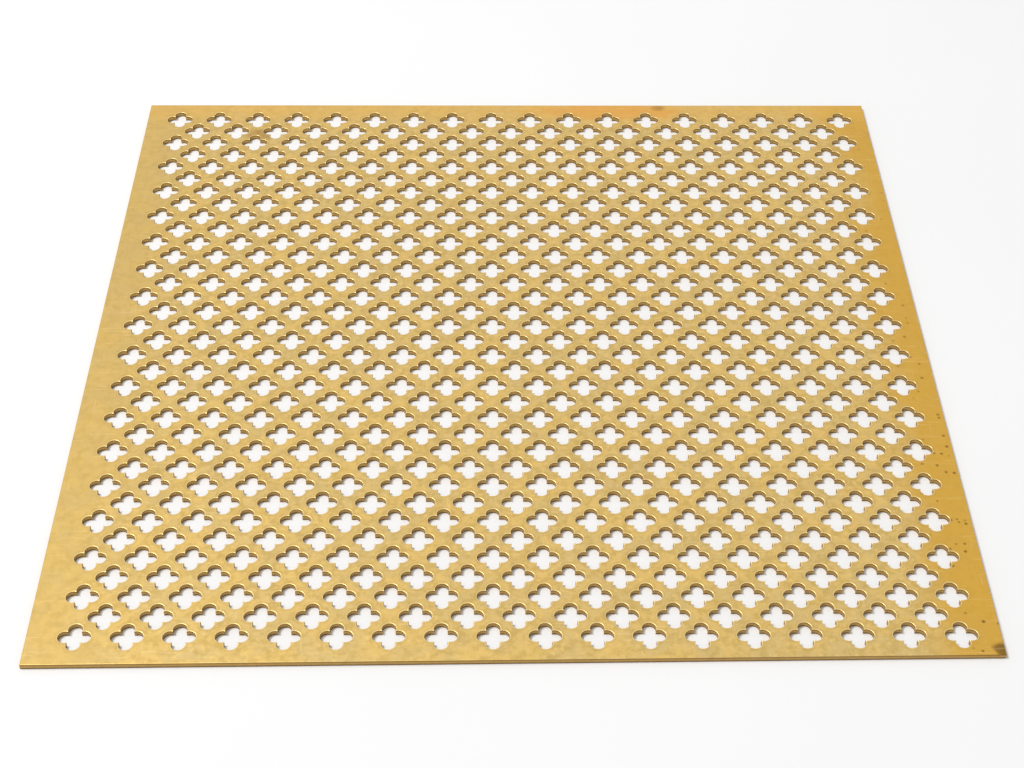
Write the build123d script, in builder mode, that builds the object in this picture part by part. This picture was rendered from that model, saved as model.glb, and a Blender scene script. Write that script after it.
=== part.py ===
"""A brass sheet pierced all over with rows of four-lobed holes.

The sheet lies flat. The origin is on its underside, at the middle of the rectangle that just
holds it: +X runs along the rows of holes, +Y from the front edge to the back one, and +Z up.
"""

from build123d import *
import os

# The rectangle that just holds the sheet, and the gauge of the metal.
sheet_length = 467.5
sheet_width = 458.5
sheet_thickness = 3.0

# The sheet was cut by eye, so its edges run a little out of square to the rows of holes.
# The front left corner fills its corner of the rectangle. The other three fall short by this much.
back_left_corner_in = 2.6
back_left_corner_short = 0.5
back_right_corner_in = 2.2
front_right_corner_short = 4.7

# Each hole is a quatrefoil, measured from tip to tip across two opposite lobes.
hole_span = 16.0
lobe_diameter = 6.9

# The rows stand half a pitch apart, and every second row is shifted sideways by half a pitch.
hole_pitch = 25.0
least_edge_margin = 16.0
pattern_shift = 1.9


def holes_that_fit(distance):
    """How many holes stand in a row across this distance, with the least margin at both ends."""
    return 1 + int((distance - 2 * least_edge_margin) // hole_pitch)


columns = holes_that_fit(sheet_length)
rows = holes_that_fit(sheet_width)

right = sheet_length / 2
back = sheet_width / 2
front_left_corner = (-right, -back)
front_right_corner = (right, -back + front_right_corner_short)
back_right_corner = (right - back_right_corner_in, back)
back_left_corner = (-right + back_left_corner_in, back - back_left_corner_short)

# The four lobes stand round a square that has its corners at their centres. They meet each
# other in four sharp inner corners.
lobe_distance = (hole_span - lobe_diameter) / 2
with BuildSketch() as quatrefoil:
    RegularPolygon(radius=lobe_distance, side_count=4)
    with PolarLocations(lobe_distance, 4):
        Circle(lobe_diameter / 2)

# The sheet is the outline less two square grids of holes, one set in the gaps of the other.
# No two of its faces lie in one surface side by side, so there is nothing to clean up.
with BuildPart() as perforated_sheet:
    with BuildSketch(Plane.XY):
        with BuildLine():
            Polyline(
                front_left_corner,
                front_right_corner,
                back_right_corner,
                back_left_corner,
                close=True,
            )
        make_face()
        with Locations((pattern_shift, 0)):
            with GridLocations(hole_pitch, hole_pitch, columns, rows):
                add(quatrefoil.sketch, mode=Mode.SUBTRACT, clean=False)
            with GridLocations(hole_pitch, hole_pitch, columns - 1, rows - 1):
                add(quatrefoil.sketch, mode=Mode.SUBTRACT, clean=False)
    extrude(amount=sheet_thickness, clean=False)

perforated_sheet.part.label = "perforated_sheet"

os.makedirs("parts", exist_ok=True)
export_step(perforated_sheet.part, "parts/perforated_sheet.step")
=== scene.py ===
"""The look of a pierced brass sheet: a finely modelled sheet with rounded hole edges, its aged
brass surface, a pale floor, soft light and the camera. All lengths are in metres.
"""

from collections import namedtuple
from math import radians

import bpy
import numpy as np
from mathutils import Matrix, Vector
from mathutils.geometry import delaunay_2d_cdt


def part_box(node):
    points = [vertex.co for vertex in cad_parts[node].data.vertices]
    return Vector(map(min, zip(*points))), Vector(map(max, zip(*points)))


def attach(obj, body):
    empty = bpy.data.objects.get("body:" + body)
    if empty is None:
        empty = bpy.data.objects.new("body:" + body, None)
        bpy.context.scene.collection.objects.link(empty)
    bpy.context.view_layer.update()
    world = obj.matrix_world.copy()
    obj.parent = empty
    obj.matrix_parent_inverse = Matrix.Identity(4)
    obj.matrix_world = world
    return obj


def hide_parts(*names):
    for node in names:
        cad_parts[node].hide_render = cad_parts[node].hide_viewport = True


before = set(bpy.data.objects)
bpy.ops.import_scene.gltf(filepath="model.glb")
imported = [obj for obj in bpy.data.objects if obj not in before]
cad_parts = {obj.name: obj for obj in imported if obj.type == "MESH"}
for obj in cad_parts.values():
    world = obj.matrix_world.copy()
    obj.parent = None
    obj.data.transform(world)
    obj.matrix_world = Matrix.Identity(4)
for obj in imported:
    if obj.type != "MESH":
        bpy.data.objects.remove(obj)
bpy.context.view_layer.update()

# The holes, at the same sizes as on the CAD sheet.
hole_pitch = 0.025
half_pitch = hole_pitch / 2
pattern_shift = 0.0019
holes_a_row = 18
lobe_radius = 0.00345
lobe_distance = 0.00455

# The top edges are rounded over by this much, and each lobe's outline has this many steps.
rounding = 0.00035
steps_a_lobe = 9
steps_a_ring = 4 * steps_a_lobe

half_length, half_width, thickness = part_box("perforated_sheet")[1]


# ---- the sheet ----

# One level of an edge: how far it is moved into the metal, its height above the floor, and the
# lean of the surface there, from 0 for upright to 1 for flat.
Level = namedtuple("Level", "offset height tilt")


def edge_levels():
    """The levels of a rounded edge, from the top of the sheet down to its underside."""
    halfway = np.sqrt(0.5)
    cut = rounding * (1 - halfway)
    return [
        Level(rounding, thickness, 1.0),
        Level(cut, thickness - cut, halfway),
        Level(0.0, thickness - rounding, 0.0),
        Level(0.0, 0.0, 0.0),
    ]


def hole_centres():
    """Two square grids of holes, the smaller one set in the gaps of the larger one."""
    centres = []
    for count in (holes_a_row, holes_a_row - 1):
        line = (np.arange(count) - (count - 1) / 2) * hole_pitch
        centres += [(pattern_shift + x, y) for y in line for x in line]
    return np.array(centres)


def hole_ring(offset):
    """The points of a four-lobed outline moved this far into the metal, and for each step of it
    the directions from its lobe's centre at both ends of the step."""
    radius = lobe_radius + offset
    corner = (lobe_distance + np.sqrt(2 * radius**2 - lobe_distance**2)) / 2
    reach = np.arctan2(corner, corner - lobe_distance)
    points, starts, ends = [], [], []
    for lobe in range(4):
        middle = lobe * np.pi / 2
        angles = middle + np.linspace(-reach, reach, steps_a_lobe + 1)
        centre = lobe_distance * np.array([np.cos(middle), np.sin(middle)])
        rays = np.stack([np.cos(angles), np.sin(angles)], axis=1)
        points.append((centre + radius * rays)[:-1])
        starts.append(rays[:-1])
        ends.append(rays[1:])
    return np.concatenate(points), np.concatenate(starts), np.concatenate(ends)


def sheet_corners():
    """The four corners of the CAD sheet's outline, counterclockwise from the front left one."""
    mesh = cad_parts["perforated_sheet"].data
    flat = np.empty(len(mesh.vertices) * 3)
    mesh.vertices.foreach_get("co", flat)
    plan = flat.reshape(-1, 3)[:, :2]
    towards = np.array([(-1, -1), (1, -1), (1, 1), (-1, 1)])
    return np.array([plan[np.argmax(plan @ way)] for way in towards])


def inset(corners, distance):
    """The outline moved inwards by this distance."""
    moved = []
    for k in range(len(corners)):
        before = corners[k] - corners[k - 1]
        after = corners[(k + 1) % len(corners)] - corners[k]
        before = before / np.linalg.norm(before)
        after = after / np.linalg.norm(after)
        turn = before[0] * after[1] - before[1] * after[0]
        moved.append(corners[k] + distance * (after - before) / turn)
    return np.array(moved)


def outward(corners):
    """The level directions that the sides after each corner face."""
    sides = np.roll(corners, -1, axis=0) - corners
    facing = np.column_stack([sides[:, 1], -sides[:, 0]])
    return facing / np.linalg.norm(facing, axis=1)[:, None]


def level_plan(corners, offset):
    """A level's points seen from above: the sheet's corners, and then the ring of each hole."""
    rings = hole_centres()[:, None, :] + hole_ring(offset)[0]
    return np.concatenate([inset(corners, offset), rings.reshape(-1, 2)])


def inside_hole(local, radius):
    """Whether points, as distances along X and Y from a hole's centre, lie inside its outline with
    lobes of this radius."""
    flipped = local[:, ::-1]
    lobes = [np.hypot(way[:, 0] - lobe_distance, way[:, 1]) < radius for way in (local, flipped)]
    return lobes[0] | lobes[1] | (local.sum(axis=1) < lobe_distance)


def triangulate(plan, offset):
    """The triangles of the metal between the outline and the rings of a level that is moved this
    far into the metal, as numbers into the level's points."""
    centres = hole_centres()
    outline_size = len(plan) - len(centres) * steps_a_ring
    loops = [np.arange(outline_size)]
    for k in range(len(centres)):
        loops.append(outline_size + k * steps_a_ring + np.arange(steps_a_ring))
    edges = [(int(a), int(b)) for loop in loops for a, b in zip(loop, np.roll(loop, -1))]
    made = delaunay_2d_cdt([Vector(p) for p in plan.tolist()], edges, [], 0, 1e-9, True)
    places, _, faces, origins = (np.array(made[0]), *made[1:4])
    faces = np.array(faces)
    across = np.abs(places[faces].mean(axis=1)[:, None, :] - centres)
    nearest = across.max(axis=2).argmin(axis=1)
    local = across[np.arange(len(faces)), nearest]
    number = np.array([origin[0] for origin in origins])
    return number[faces[~inside_hole(local, lobe_radius + offset)]]


def oriented(triangles, plan, up):
    """The triangles with their corners in the order that makes them face up or down."""
    a, b, c = (plan[triangles[:, k]] for k in range(3))
    turn = (b[:, 0] - a[:, 0]) * (c[:, 1] - a[:, 1]) - (b[:, 1] - a[:, 1]) * (c[:, 0] - a[:, 0])
    wrong = (turn > 0) != up
    triangles = triangles.copy()
    triangles[wrong] = triangles[wrong][:, ::-1]
    return triangles


def wall_faces(first, second, top, bottom):
    """Faces that stand between two levels, under the lines from the first points to the second
    ones. The levels' own points start at the numbers top and bottom."""
    corners = [top + first, top + second, bottom + second, bottom + first]
    return np.stack(corners, axis=-1).reshape(-1, 4)


def wall_normals(first, second, upper, lower):
    """The normals at the corners of such faces, from the level directions at their two ends and
    the tilts of the two levels."""
    corners = [(first, upper), (second, upper), (second, lower), (first, lower)]
    return np.stack([tilted(flat, tilt) for flat, tilt in corners], axis=1)


def tilted(flat, tilt):
    """Unit normals that lean from level ones towards straight up by this much."""
    level = np.sqrt(1 - tilt**2)
    return np.column_stack([flat * level, np.full(len(flat), tilt)])


def make_sheet():
    """The pierced sheet as one closed mesh, with its top edges rounded over."""
    corners = sheet_corners()
    levels = edge_levels()
    plans = [level_plan(corners, level.offset) for level in levels]
    heights = [np.full(len(plan), level.height) for plan, level in zip(plans, levels)]
    vertices = [np.column_stack(level) for level in zip(plans, heights)]
    starts = [number * len(plans[0]) for number in range(len(levels))]

    hole_count = len(hole_centres())
    ring_starts = len(corners) + np.arange(hole_count)[:, None] * steps_a_ring
    step = ring_starts + np.arange(steps_a_ring)
    next_step = np.roll(step, -1, axis=1)
    side = np.arange(len(corners))
    next_side = np.roll(side, -1)
    facing = outward(corners)
    _, ray_start, ray_end = hole_ring(0.0)

    faces, normals = [], []
    for k in range(len(levels) - 1):
        tilts = levels[k].tilt, levels[k + 1].tilt
        faces.append(wall_faces(step, next_step, starts[k], starts[k + 1]))
        normals.append(np.tile(wall_normals(-ray_start, -ray_end, *tilts), (hole_count, 1, 1)))
        faces.append(wall_faces(next_side, side, starts[k], starts[k + 1]))
        normals.append(wall_normals(facing, facing, *tilts))
    for k, up in ((0, True), (len(levels) - 1, False)):
        flat = oriented(triangulate(plans[k], levels[k].offset), plans[k], up)
        faces.append(starts[k] + flat)
        normals.append(np.tile([0.0, 0.0, 1.0 if up else -1.0], (flat.size, 1)))

    mesh = bpy.data.meshes.new("brass_sheet")
    every_face = [face for group in faces for face in group.tolist()]
    mesh.from_pydata(np.concatenate(vertices).tolist(), [], every_face)
    mesh.validate()
    every_normal = np.concatenate([group.reshape(-1, 3) for group in normals])
    mesh.normals_split_custom_set(every_normal.tolist())
    return mesh


# ---- materials ----


def tone(red, green, blue):
    """A colour written as it looks on a screen, from 0 to 255, as the renderer's linear one."""
    shares = [value / 255 for value in (red, green, blue)]
    return [s / 12.92 if s <= 0.04045 else ((s + 0.055) / 1.055) ** 2.4 for s in shares] + [1.0]


class Graph:
    """A material's nodes. Each method adds nodes and gives back their output."""

    def __init__(self, name):
        self.material = bpy.data.materials.new(name)
        self.material.use_nodes = True
        self.nodes = self.material.node_tree.nodes
        self.links = self.material.node_tree.links
        self.shader = self.nodes["Principled BSDF"]
        self.place = self.nodes.new("ShaderNodeTexCoord").outputs["Object"]
        self.x, self.y, self.z = self.split(self.place)

    def put(self, value, socket):
        """Sets an input to a number or a colour, or links it to another node's output."""
        if isinstance(value, bpy.types.NodeSocket):
            self.links.new(value, socket)
        else:
            socket.default_value = value

    def split(self, vector):
        """A vector's three parts, along X, Y and Z."""
        node = self.nodes.new("ShaderNodeSeparateXYZ")
        self.links.new(vector, node.inputs[0])
        return node.outputs

    def math(self, operation, *values):
        node = self.nodes.new("ShaderNodeMath")
        node.operation = operation
        for value, socket in zip(values, node.inputs):
            self.put(value, socket)
        return node.outputs[0]

    def hypotenuse(self, one, other):
        """The long side of a right triangle with these two short sides."""
        squares = [self.math("POWER", side, 2.0) for side in (one, other)]
        return self.math("SQRT", self.math("ADD", *squares))

    def ramp(self, value, low, high, start=0.0, end=1.0):
        """A smooth step from start at low to end at high."""
        node = self.nodes.new("ShaderNodeMapRange")
        node.interpolation_type = "SMOOTHSTEP"
        for number, item in enumerate((value, low, high, start, end)):
            self.put(item, node.inputs[number])
        return node.outputs[0]

    def noise(self, scale, detail=3.0, roughness=0.5, stretch=(1, 1, 1), shift=(0, 0, 0)):
        """Soft random values round 0.5. A stretch below 1 draws them out along that axis."""
        moved = self.nodes.new("ShaderNodeMapping")
        moved.inputs["Location"].default_value = shift
        moved.inputs["Scale"].default_value = stretch
        self.links.new(self.place, moved.inputs["Vector"])
        node = self.nodes.new("ShaderNodeTexNoise")
        self.links.new(moved.outputs[0], node.inputs["Vector"])
        node.inputs["Scale"].default_value = scale
        node.inputs["Detail"].default_value = detail
        node.inputs["Roughness"].default_value = roughness
        return node.outputs["Fac"]

    def mix(self, share, first, second):
        """The first colour with this share of the second one."""
        node = self.nodes.new("ShaderNodeMix")
        node.data_type = "RGBA"
        self.put(share, node.inputs["Factor"])
        self.put(first, node.inputs[6])
        self.put(second, node.inputs[7])
        return node.outputs[2]

    def patch(self, centre, size):
        """A soft-edged oval patch with a ragged outline: 1 in its middle and 0 outside."""
        across = self.math("DIVIDE", self.math("SUBTRACT", self.x, centre[0]), size[0])
        along = self.math("DIVIDE", self.math("SUBTRACT", self.y, centre[1]), size[1])
        ragged = self.math("SUBTRACT", self.noise(160.0), 0.5)
        away = self.math("ADD", self.hypotenuse(across, along), ragged)
        edge = 0.4
        return self.ramp(away, 1.0 + edge, 1.0 - edge)

    def bump(self, height, distance, strength, under=None):
        """Relief of this depth, on top of the relief under it."""
        node = self.nodes.new("ShaderNodeBump")
        node.inputs["Strength"].default_value = strength
        node.inputs["Distance"].default_value = distance
        self.links.new(height, node.inputs["Height"])
        if under is not None:
            self.links.new(under, node.inputs["Normal"])
        return node.outputs[0]


def distance_from_holes(graph):
    """How far a point of the top is from the nearest hole's edge."""
    x = graph.math("ABSOLUTE", graph.math("SUBTRACT", graph.x, pattern_shift))
    y = graph.math("ABSOLUTE", graph.y)
    found = None
    for count in (holes_a_row, holes_a_row - 1):
        outermost = (count - 1) / 2 * hole_pitch
        local = []
        for way in (x, y):
            near = graph.math("PINGPONG", way, half_pitch)
            if count % 2 == 0:
                near = graph.math("SUBTRACT", half_pitch, near)
            local.append(graph.math("MAXIMUM", near, graph.math("SUBTRACT", way, outermost)))
        for one, other in (local, local[::-1]):
            away = graph.hypotenuse(graph.math("SUBTRACT", one, lobe_distance), other)
            found = away if found is None else graph.math("MINIMUM", found, away)
    return graph.math("SUBTRACT", found, lobe_radius)


def mottled_with_painted_glints(graph):
    """Cloudy gold and tan, with small dull smudges and smaller painted glints of light."""
    cloudy = graph.ramp(graph.noise(55.0, 3.0, 0.55), 0.35, 0.65)
    colour = graph.mix(cloudy, tone(218, 184, 110), tone(208, 180, 118))
    smudges = graph.ramp(graph.noise(240.0, 4.0, 0.62), 0.42, 0.66, 0.0, 0.6)
    colour = graph.mix(smudges, colour, tone(188, 158, 88))
    # Painted highlight: small bright glints of light mixed into the colour.
    painted_glints = graph.ramp(graph.noise(420.0, 2.0, 0.5, shift=(3, 1, 0)), 0.52, 0.72, 0.0, 0.5)
    return graph.mix(painted_glints, colour, tone(230, 196, 120))


def with_margins(graph, colour):
    """The right margin is a deeper gold, the left one duller and the back one more orange."""
    widest_wander = 0.05
    wander = graph.math("SUBTRACT", graph.noise(25.0), 0.5)
    sideways = graph.math("ADD", graph.x, graph.math("MULTIPLY", wander, widest_wander))
    # Each margin: the way across it, where its tone begins, where it is full, and how strong.
    margins = [
        (sideways, half_length - 0.045, half_length - 0.008, 0.8, tone(205, 158, 56)),
        (sideways, 0.055 - half_length, 0.012 - half_length, 0.5, tone(202, 170, 100)),
        (graph.y, half_width - 0.03, half_width - 0.004, 0.5, tone(224, 177, 88)),
    ]
    for way, begins, full, strength, stain in margins:
        colour = graph.mix(graph.ramp(way, begins, full, 0.0, strength), colour, stain)
    return colour


def tarnish_share(graph):
    """Streaks of tarnish beside the middle rows of holes, along the left edge."""
    streaks = graph.ramp(graph.noise(120.0, 4.0, 0.65, stretch=(1, 0.35, 1)), 0.5, 0.7)
    left_band = graph.ramp(graph.x, 0.012 - half_length, 0.035 - half_length, 1.0, 0.0)
    band_middle = -0.01
    from_middle = graph.math("ABSOLUTE", graph.math("SUBTRACT", graph.y, band_middle))
    middle_rows = graph.ramp(from_middle, 0.16, 0.1)
    return graph.math("MULTIPLY", graph.math("MULTIPLY", streaks, left_band), middle_rows)


def with_marks(graph, colour):
    """Marks that stand out, each with its place, its half-size, its colour and its strength."""
    marks = [
        ((-0.158, 0.196), (0.009, 0.006), tone(150, 110, 50), 0.55),
        ((0.098, 0.2255), (0.0045, 0.003), tone(130, 96, 44), 0.6),
        ((0.066, 0.2215), (0.045, 0.008), tone(226, 160, 70), 0.6),
        ((0.205, 0.122), (0.003, 0.003), tone(120, 88, 40), 0.6),
        ((0.2325, -0.2215), (0.004, 0.004), tone(84, 58, 28), 0.7),
    ]
    for centre, size, stain, strength in marks:
        spot = graph.math("MULTIPLY", graph.patch(centre, size), strength)
        colour = graph.mix(spot, colour, stain)
    return colour


def speck_share(graph):
    """Dark specks on the right margin, most of them towards the front."""
    cells = graph.nodes.new("ShaderNodeTexVoronoi")
    cells.inputs["Scale"].default_value = 260.0
    graph.links.new(graph.place, cells.inputs["Vector"])
    hue = graph.nodes.new("ShaderNodeSeparateColor")
    graph.links.new(cells.outputs["Color"], hue.inputs[0])
    chosen = graph.math("GREATER_THAN", hue.outputs[0], 0.72)
    dots = graph.math("MULTIPLY", graph.ramp(cells.outputs["Distance"], 0.34, 0.14), chosen)
    on_margin = graph.ramp(graph.x, half_length - 0.03, half_length - 0.012)
    forwards = graph.ramp(graph.y, half_width, -half_width, 0.25, 1.0)
    gathered = graph.math("MULTIPLY", on_margin, forwards)
    return graph.math("MULTIPLY", graph.math("MULTIPLY", dots, gathered), 0.75)


def with_painted_rim_light(graph, colour):
    """Painted light along the hole edges: a pale painted highlight where the rounded edge catches
    light, inside a slightly darker ring of painted shade.
    """
    away = distance_from_holes(graph)
    # Painted shade: a slightly darker ring round each hole's edge.
    painted_rim_shade = graph.ramp(away, 0.0022, 0.0008, 0.0, 0.22)
    colour = graph.mix(painted_rim_shade, colour, tone(186, 152, 82))
    # Painted highlight: a pale line at the hole's edge, where its rounded rim catches light.
    painted_rim_highlight = graph.ramp(away, 0.00055, 0.00015, 0.0, 0.7)
    return graph.mix(painted_rim_highlight, colour, tone(240, 214, 150))


def scratch_share(graph):
    """Fine scratches along the sheet, and fewer across it."""
    along = graph.noise(900.0, 2.0, 0.6, stretch=(0.05, 1, 1))
    across = graph.noise(700.0, 2.0, 0.6, stretch=(1, 0.07, 1), shift=(0.5, 0.2, 0))
    return graph.math("MAXIMUM", graph.ramp(along, 0.62, 0.72), graph.ramp(across, 0.66, 0.76))


def with_walls(graph, colour):
    """The walls are browner, with painted shade darkening them just under the top edge and at the
    foot.
    """
    geometry = graph.nodes.new("ShaderNodeNewGeometry")
    lean = graph.math("ABSOLUTE", graph.split(geometry.outputs["True Normal"])[2])
    upright = graph.ramp(lean, 0.45, 0.1)
    streaks = graph.noise(300.0, 3.0, 0.6, stretch=(1, 1, 0.2))
    wall = graph.mix(streaks, tone(192, 158, 98), tone(172, 138, 78))
    # Painted shade: dark bands under the top edge and at the foot of each wall.
    shade_below_top = graph.ramp(graph.z, thickness - 0.0011, thickness - 0.0004)
    shade_at_foot = graph.ramp(graph.z, 0.0008, 0.0002)
    wall = graph.mix(graph.math("MAXIMUM", shade_below_top, shade_at_foot), wall, tone(108, 80, 30))
    return graph.mix(upright, colour, wall)


def set_roughness(graph, tarnish, specks):
    """Satin that varies over the sheet, and is duller where it is tarnished or specked."""
    satin, variation, duller = 0.3, 0.18, 0.2
    varied = graph.math("MULTIPLY", graph.noise(140.0, 4.0, 0.6), variation)
    roughness = graph.math("ADD", varied, satin)
    for share in (tarnish, specks):
        roughness = graph.math("ADD", roughness, graph.math("MULTIPLY", share, duller))
    graph.links.new(roughness, graph.shader.inputs["Roughness"])


def set_relief(graph, scratches):
    """Slight waves in the metal, a fine grain, and the scratches cut into it."""
    waves = graph.bump(graph.noise(45.0, 2.0), 0.0006, 0.35)
    grain = graph.bump(graph.noise(600.0, 4.0, 0.6), 0.00006, 0.5, under=waves)
    cuts = graph.bump(graph.math("SUBTRACT", 1.0, scratches), 0.00002, 0.5, under=grain)
    graph.links.new(cuts, graph.shader.inputs["Normal"])


def brass():
    """Aged satin brass: mottled tan and gold with painted glints, tarnished on the left and dark
    specked on the right, with fine scratches, a painted highlight and painted shade along the hole
    edges, and brown walls with painted shade under their top edge and at their foot."""
    graph = Graph("aged_brass")
    tarnish = tarnish_share(graph)
    specks = speck_share(graph)
    scratches = scratch_share(graph)
    colour = with_margins(graph, mottled_with_painted_glints(graph))
    colour = graph.mix(graph.math("MULTIPLY", tarnish, 0.4), colour, tone(164, 140, 76))
    colour = with_marks(graph, colour)
    colour = graph.mix(specks, colour, tone(96, 68, 30))
    # Painted highlight and painted shade along the hole edges.
    colour = with_painted_rim_light(graph, colour)
    colour = graph.mix(graph.math("MULTIPLY", scratches, 0.25), colour, tone(238, 214, 156))
    colour = with_walls(graph, colour)
    graph.links.new(colour, graph.shader.inputs["Base Color"])
    graph.shader.inputs["Metallic"].default_value = 1.0
    set_roughness(graph, tarnish, specks)
    set_relief(graph, scratches)
    return graph.material


def pale_floor():
    """A plain near-white matt floor."""
    graph = Graph("pale_floor")
    colour = graph.mix(graph.noise(6.0, 2.0), tone(249, 249, 249), tone(252, 252, 252))
    graph.links.new(colour, graph.shader.inputs["Base Color"])
    graph.shader.inputs["Roughness"].default_value = 0.9
    graph.shader.inputs["Specular IOR Level"].default_value = 0.1
    return graph.material


# ---- the studio ----


def placed(name, data, material=None):
    """A new object in the scene, with its material if it has one."""
    item = bpy.data.objects.new(name, data)
    bpy.context.collection.objects.link(item)
    if material is not None:
        data.materials.append(material)
    return item


def square_mesh(name, reach):
    """A level square at the height of the floor that reaches this far from the middle."""
    mesh = bpy.data.meshes.new(name)
    corners = [(-reach, -reach, 0.0), (reach, -reach, 0.0), (reach, reach, 0.0), (-reach, reach, 0.0)]
    mesh.from_pydata(corners, [], [(0, 1, 2, 3)])
    return mesh


def soft_lamp(name, place, size, power):
    """A large square lamp aimed at the middle of the sheet."""
    lamp = bpy.data.lights.new(name, "AREA")
    lamp.size = size
    lamp.energy = power
    item = placed(name, lamp)
    item.location = place
    item.rotation_euler = (-Vector(place)).to_track_quat("-Z", "Y").to_euler()


def white_world(name, light):
    """A world that lights the sheet at this strength, and is pure white where the camera, a
    reflection or a clear material sees it."""
    world = bpy.data.worlds.new(name)
    bpy.context.scene.world = world
    world.use_nodes = True
    nodes = world.node_tree.nodes
    links = world.node_tree.links
    path = nodes.new("ShaderNodeLightPath")
    seen = path.outputs["Is Camera Ray"]
    for ray in ("Is Glossy Ray", "Is Transmission Ray"):
        either = nodes.new("ShaderNodeMath")
        either.operation = "MAXIMUM"
        links.new(seen, either.inputs[0])
        links.new(path.outputs[ray], either.inputs[1])
        seen = either.outputs[0]
    strength = nodes.new("ShaderNodeMapRange")
    strength.inputs["To Min"].default_value = light
    strength.inputs["To Max"].default_value = 1.0
    links.new(seen, strength.inputs["Value"])
    links.new(strength.outputs[0], nodes["Background"].inputs["Strength"])
    nodes["Background"].inputs["Color"].default_value = (1.0, 1.0, 1.0, 1.0)


def set_camera(place, aim, lens, roll):
    """The scene's camera, aimed at a point and rolled by some degrees about its own axis."""
    data = bpy.data.cameras.new("camera")
    data.lens = lens
    data.sensor_width = 36.0
    camera = placed("camera", data)
    camera.location = place
    heading = (Vector(aim) - camera.location).to_track_quat("-Z", "Y")
    rolled = Matrix.Rotation(radians(roll), 3, "Z")
    camera.rotation_euler = (heading.to_matrix() @ rolled).to_euler()
    bpy.context.scene.camera = camera


# ---- the scene ----

sheet = placed("brass_sheet", make_sheet(), brass())
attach(sheet, "root")
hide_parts("perforated_sheet")

floor = placed("floor", square_mesh("floor", reach=6.0), pale_floor())

soft_lamp("key_lamp", place=(-1.9, 0.2, 3.6), size=1.1, power=100.0)
white_world("white_studio", light=0.5)
set_camera(place=(-0.0141, -0.7791, 0.7003), aim=(0.0003, -0.0364, thickness), lens=65.4, roll=0.715)
bpy.context.scene.view_settings.view_transform = "Standard"
